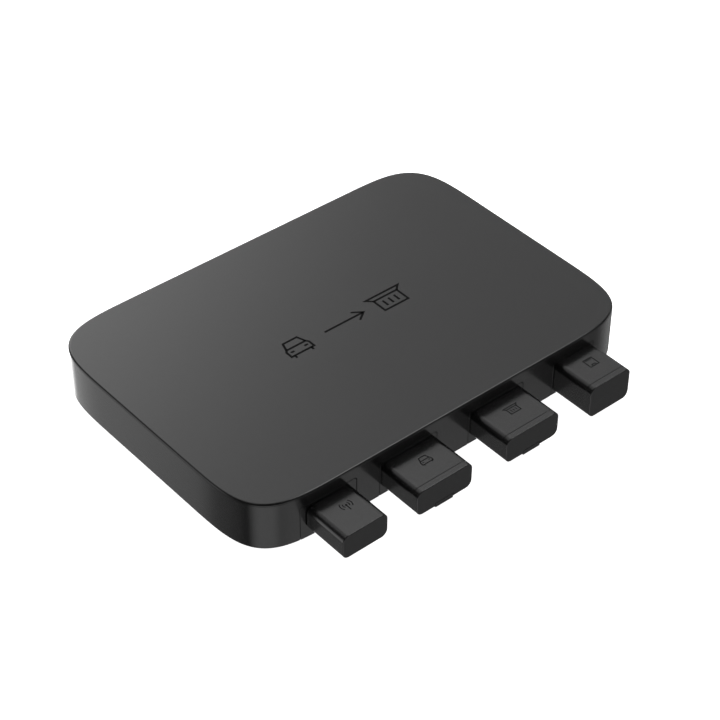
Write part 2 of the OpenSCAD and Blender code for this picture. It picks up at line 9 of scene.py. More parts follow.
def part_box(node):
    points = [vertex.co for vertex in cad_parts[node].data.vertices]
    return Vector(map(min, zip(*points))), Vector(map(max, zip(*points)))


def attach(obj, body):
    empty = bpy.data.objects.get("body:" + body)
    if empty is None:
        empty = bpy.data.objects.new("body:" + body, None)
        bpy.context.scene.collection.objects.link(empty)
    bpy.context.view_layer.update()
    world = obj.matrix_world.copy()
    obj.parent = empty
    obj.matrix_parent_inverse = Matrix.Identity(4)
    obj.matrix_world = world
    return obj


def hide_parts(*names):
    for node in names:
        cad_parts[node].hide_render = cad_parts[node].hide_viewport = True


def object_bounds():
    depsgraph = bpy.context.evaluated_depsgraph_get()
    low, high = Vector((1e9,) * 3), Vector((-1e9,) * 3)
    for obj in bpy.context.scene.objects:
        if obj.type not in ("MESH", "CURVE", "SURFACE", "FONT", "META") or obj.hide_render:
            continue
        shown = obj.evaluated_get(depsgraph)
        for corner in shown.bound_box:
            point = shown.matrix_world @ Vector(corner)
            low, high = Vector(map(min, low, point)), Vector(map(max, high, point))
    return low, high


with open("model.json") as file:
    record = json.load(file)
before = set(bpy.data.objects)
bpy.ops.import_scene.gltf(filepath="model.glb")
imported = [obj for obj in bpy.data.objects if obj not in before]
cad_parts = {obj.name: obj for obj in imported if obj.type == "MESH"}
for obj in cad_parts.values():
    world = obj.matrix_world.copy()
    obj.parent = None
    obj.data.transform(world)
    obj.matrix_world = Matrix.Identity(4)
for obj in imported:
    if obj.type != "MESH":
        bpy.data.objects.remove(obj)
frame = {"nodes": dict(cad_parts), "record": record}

# The looks of a flat vehicle battery charger with four capped ports

cad_lo, cad_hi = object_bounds()

MM = 0.001
PORTS = ("antenna", "vehicle", "station", "comms")
LATCHED = ("vehicle", "station")

# ---- sizes that the frame gives ----

frame_lo, frame_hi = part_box("side_frame")
FRONT = frame_lo.y          # the front wall's face
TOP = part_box("top_cover")[1].z
RIM = frame_hi.z            # the side frame's rim, under the cover's edge
HALF_W = frame_hi.x
HALF_D = frame_hi.y
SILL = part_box("antenna_bezel")[0].z    # the front's lower edge is recessed to here, under the ports
SILL_X0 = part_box("antenna_bezel")[0].x
SILL_X1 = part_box("comms_bezel")[1].x

# ---- sizes of the moulded and cast details ----

CUT = 5 * MM                # how far a cut runs past the face that it opens
WELD_GAP = 0.001 * MM       # CAD vertices this close together are one
CREASE = 35                 # in degrees; smooth shading keeps sharper edges crisp
ROUNDED = 40                # in degrees; soften rounds sharper edges
FACING = -0.95              # faces whose normal has at most this Y look to the front

CORNER_REACH = 70 * MM      # how far a plan corner reaches along its two sides
CORNER_POWER = 4.5          # squareness of the plan corners; 2 would be an arc
CORNER_STEPS = 44
WALL = 3.5 * MM
BOTTOM_ROUND = 2.5 * MM
RIM_EDGE = 0.12 * MM
SHELL_EDGE = 0.15 * MM

PLATE = 3 * MM              # the underside's plate
PLATE_PLAY = 0.08 * MM
PLATE_EDGE = 0.3 * MM
PLATE_SOFT = 0.1 * MM

COVER_ROUND = 1.15 * MM
SEAM = 0.1 * MM             # height of the fine joint under the cover
SEAM_DEPTH = 1 * MM
SEAM_EDGE = 0.05 * MM
STEP_PLAY = 0.2 * MM        # between the cover's step and the wall
STEP_HEIGHT = 1.5 * MM

BEZEL_ROUND = 2 * MM
BEZEL_PLAY = 0.22 * MM      # cut from a bezel and from its opening alike
BEZEL_EDGE = 0.2 * MM
NOSE_PLAY = 0.6 * MM        # a bezel's opening is this much larger than the nose's seal
NOSE_ROUND = 1.5 * MM
NOSE_CUT = 9 * MM           # how far the opening is cut to either side of the front wall's face
POCKET_WIDTH = 10 * MM      # the pocket that a latch's hook enters
POCKET_LIFT = 0.8 * MM
POCKET_RISE = 3.5 * MM
POCKET_DEPTH = 2.6 * MM

CAP_ROUND = 4.5 * MM
CAP_WALL = 1.8 * MM
CAP_SEAM = 0.2 * MM         # between a cap's shell and its end piece
CAP_GAP = 0.1 * MM          # between a cap and its bezel
CAP_EDGE = 0.12 * MM
END_DEPTH = 4 * MM          # from a cap's end face to the seam behind its end piece
END_ROUND = 0.45 * MM
PLUG_INSET = 3 * MM         # the end piece's rim, which plugs into the shell
PLUG_LENGTH = 2.5 * MM
LATCH_PLAY = 0.3 * MM
SLOT_IN_SHELL = 3 * MM      # heights of the latch's slot over the cap's bottom
SLOT_IN_END = 2.5 * MM
SLOT_LENGTH = 40 * MM

PRINT_RISE = 0.02 * MM      # thickness of printed ink
PRINT_SINK = 0.05 * MM      # how far ink reaches into the surface under it
PRINT_LINE = 1.5            # the cover print's line width, in millimetres
PRINT_SCALE = 2.5
PRINT_OUT = 36              # from the cover's middle to the two drawings, in millimetres
ICON_LINE = 0.6             # an icon's line width, in millimetres
ICON_OUT = 12.7 * MM        # from the front wall to an icon's middle
VEHICLE_SCALE = 1.12
# From a cap's middle to its icon's, along X, in millimetres
ICON_SHIFT = {"antenna": 2.2, "vehicle": 1.2, "station": 1.2, "comms": 1.6}

PLAIN_EDGE = 0.12 * MM      # rounds the edges of the CAD nodes that have no entry here
EDGE_ROUND = {"rubber_feet": 0.5 * MM, "vehicle_latch": 0.3 * MM, "station_latch": 0.3 * MM,
              "cover_screws": 0.3 * MM, "mount_inserts": 0.2 * MM}

# Radius and depth of what is sunk into the underside
SUNK = {"rubber_feet": (9.05 * MM, 1 * MM), "cover_screws": (3.2 * MM, 4 * MM),
        "mount_inserts": (3.62 * MM, 7 * MM)}

# ---- stage and light ----

STAGE_HALF = 15             # half the floor's side, in metres
STAGE_GLOW = 1.1
STAGE_PALE = (0.86, 0.86, 0.86)
BACKDROP_RADIUS = STAGE_HALF * 0.98
FILL = 0.07                 # light from everywhere
# Lamps as azimuth, elevation and spread in degrees, and strength
LAMPS = [(165, 25, 26, 2.35), (135, 35, 40, 0.7), (180, 55, 40, 0.62), (80, 62, 15, 6),
         (38, 36, 26, 0.4), (87, -12, 40, 0.76), (15, -35, 40, 0.53), (-45, -35, 34, 0.95),
         (-165, -30, 26, 0.8), (-135, -35, 40, 0.15), (140, -52, 26, 0.7), (0, -88, 24, 1.3),
         (-126, -8, 24, 1.2), (160, -40, 22, 3)]

# ---- camera, in degrees and metres ----

AZIMUTH, ELEVATION, ROLL = -40.404, 39.984, 0.352
DISTANCE = 1.2171
TARGET = Vector((-15.40 * MM, -33.28 * MM, TOP))


# ---- mesh helpers ----

def new_piece(name, bm):
    """A new object from a bmesh, with its normals made to point outwards."""
    bmesh.ops.recalc_face_normals(bm, faces=bm.faces)
    mesh = bpy.data.meshes.new(name)
    bm.to_mesh(mesh)
    bm.free()
    piece = bpy.data.objects.new(name, mesh)
    bpy.context.scene.collection.objects.link(piece)
    return piece


def skin(bm, rows, closed):
    """Faces between rows of vertices: the two ends are capped, or joined where closed is set."""
    pairs = list(zip(rows, rows[1:]))
    if closed:
        pairs.append((rows[-1], rows[0]))
    for row, after in pairs:
        for i in range(len(row)):
            j = (i + 1) % len(row)
            bm.faces.new((row[i], row[j], after[j], after[i]))
    if not closed:
        bm.faces.new(rows[0])
        bm.faces.new(rows[-1])


def loft(name, rings, closed=False):
    """A solid through rings that have the same number of points."""
    bm = bmesh.new()
    skin(bm, [[bm.verts.new(p) for p in ring] for ring in rings], closed)
    return new_piece(name, bm)


def bake(piece):
    """Applies a piece's modifiers to its mesh."""
    depsgraph = bpy.context.evaluated_depsgraph_get()
    mesh = bpy.data.meshes.new_from_object(piece.evaluated_get(depsgraph))
    piece.modifiers.clear()
    piece.data = mesh


def carve(piece, cutter, operation="DIFFERENCE"):
    """Cuts, joins or intersects a piece with a cutter, which is used up."""
    modifier = piece.modifiers.new("carve", "BOOLEAN")
    modifier.operation = operation
    modifier.solver = "EXACT"
    modifier.object = cutter
    bake(piece)
    bpy.data.objects.remove(cutter)


def soften(piece, width):
    """Rounds a piece's sharp edges."""
    modifier = piece.modifiers.new("soften", "BEVEL")
    modifier.width = width
    modifier.segments = 2
    modifier.limit_method = "ANGLE"
    modifier.angle_limit = math.radians(ROUNDED)
    modifier.harden_normals = False
    modifier.use_clamp_overlap = True


def smooth(piece):
    """Smooth shading, with a piece's sharp edges kept crisp."""
    for face in piece.data.polygons:
        face.use_smooth = True
    piece.data.set_sharp_from_angle(angle=math.radians(CREASE))
    modifier = piece.modifiers.new("weighted", "WEIGHTED_NORMAL")
    modifier.keep_sharp = True


def weld(piece):
    """Joins the vertices that a CAD mesh repeats at its edges, so that they can be rounded."""
    piece.modifiers.new("weld", "WELD").merge_threshold = WELD_GAP


def merge(pieces):
    """Joins pieces into the first one."""
    bm = bmesh.new()
    for piece in pieces:
        bm.from_mesh(piece.data)
    bm.to_mesh(pieces[0].data)
    bm.free()
    for piece in pieces[1:]:
        bpy.data.objects.remove(piece)
    return pieces[0]


# ---- outlines ----

def eased_steps(count):
    """Fractions from 0 to 1 that crowd towards both ends."""
    return [(i / count) ** 2 * (3 - 2 * i / count) for i in range(count + 1)]


def casing_ring(inset, z):
    """The casing's plan at height z, moved inwards by inset; the corners are superellipses."""
    flat_x, flat_y = HALF_W - CORNER_REACH, HALF_D - CORNER_REACH
    reach = CORNER_REACH - inset
    points = []
    for quarter, (sx, sy) in enumerate(((1, 1), (-1, 1), (-1, -1), (1, -1))):
        for t in eased_steps(CORNER_STEPS):
            angle = math.pi / 2 * (t if quarter % 2 == 0 else 1 - t)
            along_x = abs(math.cos(angle)) ** (2 / CORNER_POWER)
            along_y = abs(math.sin(angle)) ** (2 / CORNER_POWER)
            points.append(Vector((sx * (flat_x + reach * along_x), sy * (flat_y + reach * along_y), z)))
    return points


def arc(cx, cy, radius, start, end, steps):
    """Points on an arc, with its angles in degrees."""
    angles = [math.radians(start + (end - start) * i / steps) for i in range(steps + 1)]
    return [(cx + radius * math.cos(a), cy + radius * math.sin(a)) for a in angles]


def circle(cx, cy, radius, count):
    """Evenly spaced points all round a circle."""
    return arc(cx, cy, radius, 0, 360 - 360 / count, count - 1)


def rounded_outline(width, height, radius):
    """A rounded rectangle round the origin, anticlockwise."""
    x, y = width / 2 - radius, height / 2 - radius
    steps = 10
    return (arc(x, y, radius, 0, 90, steps) + arc(-x, y, radius, 90, 180, steps)
            + arc(-x, -y, radius, 180, 270, steps) + arc(x, -y, radius, 270, 360, steps))


def box_outline(x0, y0, x1, y1):
    """A rectangle between two of its corners."""
    return [(x0, y0), (x1, y0), (x1, y1), (x0, y1)]


def bar(name, outline, x, z, y0, y1):
    """An outline extruded along Y, placed round the line x, z."""
    return loft(name, [[Vector((x + u, y, z + v)) for u, v in outline] for y in (y0, y1)])


def disc(name, x, y, radius, z0, z1):
    """An upright round rod."""
    outline = circle(x, y, radius, 40)
    return loft(name, [[Vector((u, v, z)) for u, v in outline] for z in (z0, z1)])


# ---- materials ----

class Shading:
    """A node material being built: its tree, its shader and shared coordinates."""

    def __init__(self, name, color, roughness, metallic=0.0, specular=0.5):
        self.material = bpy.data.materials.new(name)
        self.material.use_nodes = True
        self.nodes = self.material.node_tree.nodes
        self.shader = self.nodes["Principled BSDF"]
        self.shader.inputs["Base Color"].default_value = (*color, 1)
        self.shader.inputs["Roughness"].default_value = roughness
        self.shader.inputs["Metallic"].default_value = metallic
        self.shader.inputs["Specular IOR Level"].default_value = specular
        self.place = self.nodes.new("ShaderNodeTexCoord").outputs["Object"]

    def link(self, source, target):
        """Joins a node's output to another node's input."""
        self.material.node_tree.links.new(source, target)

    def noise(self, scale, detail=4.0, stretch=(1, 1, 1)):
        """Fractal noise with scale cells to the metre; stretch squeezes it along the axes."""
        mapping = self.nodes.new("ShaderNodeMapping")
        mapping.inputs["Scale"].default_value = stretch
        texture = self.nodes.new("ShaderNodeTexNoise")
        texture.inputs["Scale"].default_value = scale
        texture.inputs["Detail"].default_value = detail
        self.link(self.place, mapping.inputs["Vector"])
        self.link(mapping.outputs["Vector"], texture.inputs["Vector"])
        return texture.outputs["Fac"]

    def spread(self, value, low, high, target):
        """Maps a noise value from 0..1 to low..high and feeds a shader input."""
        node = self.nodes.new("ShaderNodeMapRange")
        node.inputs["To Min"].default_value = low
        node.inputs["To Max"].default_value = high
        self.link(value, node.inputs["Value"])
        self.link(node.outputs["Result"], self.shader.inputs[target])

    def tint(self, value, dark, light):
        """Blends two base colours by a noise value."""
        node = self.nodes.new("ShaderNodeMix")
        node.data_type = "RGBA"
        node.inputs[6].default_value = (*dark, 1)
        node.inputs[7].default_value = (*light, 1)
        self.link(value, node.inputs[0])
        self.link(node.outputs[2], self.shader.inputs["Base Color"])

    def bump(self, value, height):
        """Bumps of the given height in metres."""
        node = self.nodes.new("ShaderNodeBump")
        node.inputs["Distance"].default_value = height
        node.inputs["Strength"].default_value = 1
        self.link(value, node.inputs["Height"])
        self.link(node.outputs["Normal"], self.shader.inputs["Normal"])


def grey(value):
    """A dark neutral colour, very slightly blue as black coatings are."""
    return (value, value, value * 1.02)


def moulded(name, value, roughness, grain=9000, depth=0.004 * MM, specular=0.5):
    """A dark coating or plastic: a fine spark-eroded grain and slow changes of gloss."""
    made = Shading(name, grey(value), roughness, specular=specular)
    made.tint(made.noise(60), grey(value * 0.92), grey(value * 1.08))
    made.spread(made.noise(25, 3), roughness - 0.025, roughness + 0.025, "Roughness")
    made.bump(made.noise(grain, 2), depth)
    return made.material


def metal(name, color, roughness, stretch=(1, 1, 1)):
    """A bare metal, brushed along the axis that stretch makes small."""
    made = Shading(name, color, roughness, metallic=1.0)
    lines = made.noise(1500, 3, stretch)
    made.tint(made.noise(120), [c * 0.86 for c in color], color)
    made.spread(lines, roughness - 0.07, roughness + 0.09, "Roughness")
    made.bump(lines, 0.004 * MM)
    return made.material


def rubber(name, color):
    """Dull rubber with a powdery grain."""
    made = Shading(name, color, 0.7, specular=0.35)
    made.tint(made.noise(400), [c * 0.8 for c in color], [c * 1.15 for c in color])
    made.bump(made.noise(5000, 3), 0.012 * MM)
    return made.material


def circuit_board():
    """Green solder mask over a faint pattern of straight copper tracks."""
    made = Shading("circuit_board", (0.01, 0.09, 0.035), 0.35)
    tracks = made.nodes.new("ShaderNodeTexBrick")
    tracks.inputs["Color1"].default_value = (0.008, 0.075, 0.03, 1)
    tracks.inputs["Color2"].default_value = (0.012, 0.11, 0.045, 1)
    tracks.inputs["Mortar"].default_value = (0.03, 0.2, 0.08, 1)
    tracks.inputs["Scale"].default_value = 90
    tracks.inputs["Mortar Size"].default_value = 0.03
    made.link(made.place, tracks.inputs["Vector"])
    made.link(tracks.outputs["Color"], made.shader.inputs["Base Color"])
    made.bump(tracks.outputs["Fac"], 0.02 * MM)
    return made.material


def ferrite():
    """The rough, almost black ceramic of the magnetic cores."""
    made = Shading("ferrite", (0.03, 0.03, 0.033), 0.55, metallic=0.3)
    made.tint(made.noise(900), (0.02, 0.02, 0.022), (0.05, 0.05, 0.055))
    made.bump(made.noise(2500), 0.02 * MM)
    return made.material


def copper_windings():
    """Copper with fine turns across it."""
    made = Shading("copper", (0.72, 0.33, 0.16), 0.32, metallic=1.0)
    turns = made.nodes.new("ShaderNodeTexWave")
    turns.inputs["Scale"].default_value = 320
    turns.bands_direction = "Z"
    made.link(made.place, turns.inputs["Vector"])
    made.tint(turns.outputs["Fac"], (0.45, 0.18, 0.07), (0.78, 0.38, 0.18))
    made.bump(turns.outputs["Fac"], 0.05 * MM)
    return made.material


def component_cases():
    """The dark cases of capacitors and transistors."""
    made = Shading("component_case", (0.02, 0.024, 0.032), 0.45)
    made.tint(made.noise(70), (0.012, 0.014, 0.02), (0.035, 0.042, 0.055))
    made.bump(made.noise(3000), 0.008 * MM)
    return made.material


def printed_ink():
    """Matt black ink, darker than the coating that it is printed on."""
    made = Shading("printed_ink", grey(0.003), 0.6, specular=0.06)
    made.spread(made.noise(700), 0.55, 0.65, "Roughness")
    made.bump(made.noise(6000), 0.002 * MM)
    return made.material


MATERIALS = {
    "casing_metal": moulded("casing_metal", 0.007, 0.17, grain=12000, depth=0.0001 * MM,
                            specular=0.54),
    "bezel_plastic": moulded("bezel_plastic", 0.006, 0.15, depth=0.0003 * MM),
    "socket_plastic": moulded("socket_plastic", 0.012, 0.5),
    "cap_plastic": moulded("cap_plastic", 0.009, 0.2, depth=0.00012 * MM, specular=0.64),
    "insert_plastic": moulded("insert_plastic", 0.010, 0.5),
    "seal_rubber": rubber("seal_rubber", (0.30, 0.05, 0.02)),
    "black_rubber": rubber("black_rubber", (0.015, 0.015, 0.016)),
    "contact_brass": metal("contact_brass", (0.83, 0.62, 0.28), 0.25, (1, 0.05, 1)),
    "black_steel": metal("black_steel", (0.07, 0.07, 0.075), 0.4),
    "bright_steel": metal("bright_steel", (0.62, 0.62, 0.64), 0.3, (0.05, 1, 1)),
    "copper": copper_windings(),
    "circuit_board": circuit_board(),
    "ferrite": ferrite(),
    "component_case": component_cases(),
    "plain_aluminium": metal("plain_aluminium", (0.66, 0.67, 0.68), 0.35, (0.04, 1, 1)),
    "thermal_rubber": rubber("thermal_rubber", (0.30, 0.38, 0.42)),
}
INK = printed_ink()
CAP_FACE = moulded("cap_face", 0.009, 0.36, depth=0.0005 * MM, specular=0.27)


def dress(piece, slot, body, *nodes, material=None):
    """Gives a piece its material, the slot's unless one is given, parents it to its body, and hides the
    CAD nodes that it stands for.
    """
    piece.data.materials.clear()
    piece.data.materials.append(material or MATERIALS[slot])
    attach(piece, body)
    if nodes:
        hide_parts(*nodes)
    return piece


def matt_end(piece):
    """Gives the flat end face of a cap or latch its duller finish."""
    piece.data.materials.append(CAP_FACE)
    for face in piece.data.polygons:
        if face.normal.y < FACING:
            face.material_index = 1
    return piece


# ---- casing ----

def cover_shell():
    """The cover plate: a rounded edge over a step that rests on the frame's rim."""
    top = TOP - PRINT_RISE
    under = RIM + SEAM
    flat = 6 * MM
    lead = 0.5 * MM
    edge = [(COVER_ROUND + u, top - COVER_ROUND + v) for u, v in arc(0, 0, COVER_ROUND, 90, 180, 10)]
    profile = [(flat, top), (COVER_ROUND + lead, top), *edge, (0, under + SEAM_EDGE),
               (SEAM_EDGE, under), (SEAM_DEPTH, under), (SEAM_DEPTH, RIM),
               (WALL + STEP_PLAY, RIM), (WALL + STEP_PLAY, RIM - STEP_HEIGHT)]
    plate = loft("cover_plate", [casing_ring(inset, z) for inset, z in profile])
    smooth(plate)
    return dress(plate, "casing_metal", "casing", "top_cover")


def casing_blank(name, round_bottom):
    """The casing's outer form from the underside to the rim, as a plain solid."""
    base_flat, rim_flat = 3 * MM, 2 * MM
    base_lead, rim_lead = 0.6 * MM, 0.5 * MM
    profile = [(base_flat, 0), (0, 0)]
    if round_bottom:
        profile = [(BOTTOM_ROUND + base_flat, 0), (BOTTOM_ROUND, 0)]
        profile += [(BOTTOM_ROUND + u, BOTTOM_ROUND + v)
                    for u, v in arc(0, 0, BOTTOM_ROUND, 270, 180, 8)][1:]
        profile += [(0, BOTTOM_ROUND + base_lead)]
    profile += [(0, RIM - rim_lead), (0, RIM - RIM_EDGE), (RIM_EDGE, RIM), (rim_flat, RIM)]
    return loft(name, [casing_ring(inset, z) for inset, z in profile])


def bezel_outline(port, grow):
    """A bezel's outline, rounded above. Grown, it is the wall's opening, which is open below."""
    lo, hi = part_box(f"{port}_bezel")
    x0, x1, z1 = lo.x - grow, hi.x + grow, hi.z + grow
    radius = BEZEL_ROUND + grow
    z0 = SILL if grow < 0 else -CUT
    return ([(x0, z0), (x1, z0)] + arc(x1 - radius, z1 - radius, radius, 0, 90, 6)
            + arc(x0 + radius, z1 - radius, radius, 90, 180, 6))


def under_cutters():
    """Cutters for the feet, screws and inserts in the underside, where the CAD nodes have them."""
    below = -2 * MM
    cutters = []
    for node, (radius, depth) in SUNK.items():
        for x, y in centres(node):
            cutters.append(disc("cutter", x, y, radius, below, depth))
    return merge(cutters)


def centres(node):
    """The middle, in plan, of each separate solid of a CAD node."""
    bm = bmesh.new()
    bm.from_mesh(frame["nodes"][node].data)
    bmesh.ops.remove_doubles(bm, verts=bm.verts, dist=WELD_GAP)
    left, found = set(bm.verts), []
    while left:
        group, queue = set(), [left.pop()]
        while queue:
            vert = queue.pop()
            group.add(vert)
            near = {e.other_vert(vert) for e in vert.link_edges} & left
            left -= near
            queue.extend(near)
        xs, ys = [v.co.x for v in group], [v.co.y for v in group]
        found.append(((min(xs) + max(xs)) / 2, (min(ys) + max(ys)) / 2))
    bm.free()
    return sorted(found)


def sill_box(name, x0, x1, z0, z1):
    """A block across the front wall's lower edge."""
    return bar(name, box_outline(x0, z0, x1, z1), 0, 0, FRONT - CUT, FRONT + WALL)


def frame_shell():
    """The wall all round: a rounded bottom edge, the front's sill and an opening for each bezel."""
    sill_top = BOTTOM_ROUND + 0.5 * MM
    room_start = FRONT + WALL - 1 * MM
    shell = casing_blank("wall_shell", True)
    sill = casing_blank("sill", False)
    carve(sill, sill_box("sill_part", SILL_X0, SILL_X1, SILL, sill_top), "INTERSECT")
    carve(shell, sill, "UNION")
    carve(shell, sill_box("recess", SILL_X0, SILL_X1, -CUT, SILL))
    carve(shell, loft("hollow", [casing_ring(WALL, -CUT), casing_ring(WALL, RIM + CUT)]))
    for port in PORTS:
        outline = bezel_outline(port, BEZEL_PLAY)
        carve(shell, bar("opening", outline, 0, 0, FRONT - CUT, FRONT + WALL))
        carve(shell, bar("room", outline, 0, 0, room_start, FRONT + 2 * WALL))
    soften(shell, SHELL_EDGE)
    smooth(shell)
    return dress(shell, "casing_metal", "casing", "side_frame")


def bottom_plate():
    """The plate let into the underside, with its sunk feet, screws and inserts."""
    edge_inset = WALL + PLATE_PLAY
    profile = [(edge_inset + PLATE_EDGE, 0), (edge_inset, PLATE_EDGE), (edge_inset, PLATE)]
    plate = loft("underside_plate", [casing_ring(inset, z) for inset, z in profile])
    carve(plate, under_cutters())
    soften(plate, PLATE_SOFT)
    smooth(plate)
    return dress(plate, "casing_metal", "casing", "bottom_plate")


def bezel(port):
    """A bezel: its face follows the wall, round the opening that the cap's nose enters."""
    nose_lo, nose_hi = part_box(f"{port}_cap_seal")
    middle = (nose_lo + nose_hi) / 2
    piece = casing_blank(f"{port}_bezel_frame", False)
    block = bar("block", bezel_outline(port, -BEZEL_PLAY), 0, 0, FRONT - CUT, FRONT + WALL)
    carve(piece, block, "INTERSECT")
    opening = rounded_outline(nose_hi.x - nose_lo.x + NOSE_PLAY, nose_hi.z - nose_lo.z + NOSE_PLAY,
                              NOSE_ROUND)
    carve(piece, bar("opening", opening, middle.x, middle.z, FRONT - NOSE_CUT, FRONT + NOSE_CUT))
    if port in LATCHED:
        half = POCKET_WIDTH / 2
        z0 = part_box(f"{port}_latch")[0].z + POCKET_LIFT
        pocket = box_outline(-half, z0, half, z0 + POCKET_RISE)
        carve(piece, bar("pocket", pocket, middle.x, 0, FRONT - CUT, FRONT + POCKET_DEPTH))
    soften(piece, BEZEL_EDGE)
    smooth(piece)
    return dress(piece, "bezel_plastic", "casing", f"{port}_bezel")


# ---- caps ----

def cap_ring(port, inset, depth):
    """A cap's outline, moved inwards by inset, at a depth behind its end face."""
    lo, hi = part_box(f"{port}_cap_shell")
    middle = (lo + hi) / 2
    outline = rounded_outline(hi.x - lo.x - 2 * inset, hi.z - lo.z - 2 * inset, CAP_ROUND - inset)
    return [Vector((middle.x + u, cad_lo.y + depth, middle.z + v)) for u, v in outline]


def cap_loft(port, name, profile, closed=False):
    """A solid through a cap's outlines, at insets and depths."""
    return loft(name, [cap_ring(port, inset, depth) for inset, depth in profile], closed)


def end_profile():
    """The rounded edge of a cap's end face, as insets and depths."""
    before, after = 0.5 * MM, 0.4 * MM
    curve = [(END_ROUND + u, END_ROUND + v) for u, v in arc(0, 0, END_ROUND, 180, 270, 5)]
    return [(0, END_ROUND + before), *curve, (END_ROUND + after, 0)]


def cap_length():
    """From a cap's end face to its mouth, just short of its bezel."""
    return FRONT - CAP_GAP - cad_lo.y


def latch_slot(port, top):
    """A cutter for the slot that a cap's latch lies in, up to a height above the cap's bottom."""
    lo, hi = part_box(f"{port}_latch")
    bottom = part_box(f"{port}_cap_shell")[0].z
    below = 3 * MM
    outline = box_outline(lo.x - LATCH_PLAY, bottom - below, hi.x + LATCH_PLAY, bottom + top)
    return bar("slot", outline, 0, 0, cad_lo.y - CUT, cad_lo.y + SLOT_LENGTH)


def cap_shell(port):
    """A cap's long shell, open at both ends, with a small bevel round each mouth."""
    length = cap_length()
    start = END_DEPTH + CAP_SEAM
    lead = 1 * MM
    profile = [(CAP_EDGE, start), (0, start + CAP_EDGE), (0, start + lead), (0, length - lead),
               (0, length - CAP_EDGE), (CAP_EDGE, length), (CAP_WALL, length), (CAP_WALL, start)]
    shell = cap_loft(port, f"{port}_cap_body", profile, True)
    if port in LATCHED:
        carve(shell, latch_slot(port, SLOT_IN_SHELL))
    smooth(shell)
    return dress(shell, "cap_plastic", f"{port}_cap", f"{port}_cap_shell")


def cap_end(port):
    """A cap's separate end piece, whose rim plugs into the shell."""
    plug = END_DEPTH + PLUG_LENGTH
    lead = 1 * MM
    profile = [(PLUG_INSET, CAP_WALL), (PLUG_INSET, plug), (CAP_WALL, plug), (CAP_WALL, END_DEPTH),
               (CAP_EDGE, END_DEPTH), (0, END_DEPTH - CAP_EDGE), (0, END_DEPTH - lead), *end_profile()]
    piece = cap_loft(port, f"{port}_cap_end_piece", profile)
    if port in LATCHED:
        carve(piece, latch_slot(port, SLOT_IN_END))
    smooth(piece)
    return matt_end(dress(piece, "cap_plastic", f"{port}_cap", f"{port}_cap_end"))


def antenna_cap():
    """The antenna's cap is one piece, closed at its end."""
    length = cap_length()
    mouth_lead, end_lead = 1 * MM, 3 * MM
    profile = [(CAP_WALL, CAP_WALL), (CAP_WALL, length), (CAP_EDGE, length), (0, length - CAP_EDGE),
               (0, length - mouth_lead), (0, end_lead), *end_profile()]
    shell = cap_loft("antenna", "antenna_cap_body", profile)
    smooth(shell)
    return matt_end(dress(shell, "cap_plastic", "antenna_cap", "antenna_cap_shell"))


# ---- printed drawings, with their points in millimetres ----

def scaled(strokes, factor, shift):
    """Strokes made larger and moved along X, in millimetres."""
    return [([(x * factor + shift, y * factor) for x, y in points], closed) for points, closed in strokes]


def ribbon(points, width, closed):
    """The two edges of a band along a line of points, with mitred corners."""
    count = len(points)
    pairs = []
    for i, point in enumerate(points):
        before = points[i - 1] if i > 0 or closed else None
        after = points[(i + 1) % count] if i < count - 1 or closed else None
        normals = []
        for start, end in ((before, point), (point, after)):
            if start is not None and end is not None:
                along = (Vector(end) - Vector(start)).normalized()
                normals.append(Vector((-along.y, along.x)))
        mean = sum(normals, Vector((0, 0))) / len(normals)
        offset = mean / mean.length_squared * width / 2
        pairs.append((Vector(point) + offset, Vector(point) - offset))
    return pairs


def add_stroke(bm, points, closed, width, place):
    """Adds a thin raised band to bm; place puts a point of the drawing on its surface."""
    rows = []
    for left, right in ribbon(points, width, closed):
        corners = ((left, -PRINT_SINK), (left, PRINT_RISE), (right, PRINT_RISE), (right, -PRINT_SINK))
        rows.append([bm.verts.new(place(corner, z)) for corner, z in corners])
    skin(bm, rows, closed)


def drawing(name, middle, width, strokes):
    """A printed drawing on a level surface; its strokes are (points in millimetres, closed)."""
    bm = bmesh.new()

    def place(corner, z):
        return middle + Vector((corner.x * MM, corner.y * MM, z))

    for points, closed in strokes:
        add_stroke(bm, points, closed, width, place)
    return new_piece(name, bm)


def icon(port, strokes):
    """An icon on a cap's top."""
    lo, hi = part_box(f"{port}_cap_shell")
    middle = Vector(((lo.x + hi.x) / 2 + ICON_SHIFT[port] * MM, FRONT - ICON_OUT, hi.z))
    piece = drawing(f"{port}_icon", middle, ICON_LINE, strokes)
    return dress(piece, "cap_plastic", f"{port}_cap", material=INK)


def antenna_icon():
    """A mast between two groups of radio waves."""
    head_y, head_radius = 0.9, 0.4
    waves = []
    for radius in (2.0, 3.8):
        waves.append((arc(0, head_y, radius, -42, 42, 8), False))
        waves.append((arc(0, head_y, radius, 138, 222, 8), False))
    head = (circle(0, head_y, head_radius, 12), True)
    mast = ([(0, 0.5), (0, -3.6)], False)
    return icon("antenna", [*waves, head, mast])


def vehicle_strokes():
    """A car from the front."""
    glass = [(-2.9, 0.5), (-2.1, 2.9), (2.1, 2.9), (2.9, 0.5)]
    body = [(-3.4, -2.2), (3.4, -2.2), (3.4, -0.2), (2.9, 0.5), (-2.9, 0.5), (-3.4, -0.2)]
    lamps = [([(side * 2.6, -0.8), (side * 1.5, -0.8)], False) for side in (-1, 1)]
    wheels = [([(side * 2.5, -2.2), (side * 2.5, -3.2)], False) for side in (-1, 1)]
    return [(glass, False), (body, True), *lamps, *wheels]


def station_strokes():
    """A portable power station with a wide lid and three charge bars."""
    lid = [(-5.2, 2.9), (5.2, 2.9), (3.7, 1.5), (-3.7, 1.5)]
    case = [(-3.7, 1.5), (-3.7, -2.9), (3.7, -2.9), (3.7, 1.5)]
    bars = [([(x, -1.8), (x, 0.4)], False) for x in (-1.8, 0, 1.8)]
    return [(lid, True), (case, False), *bars]


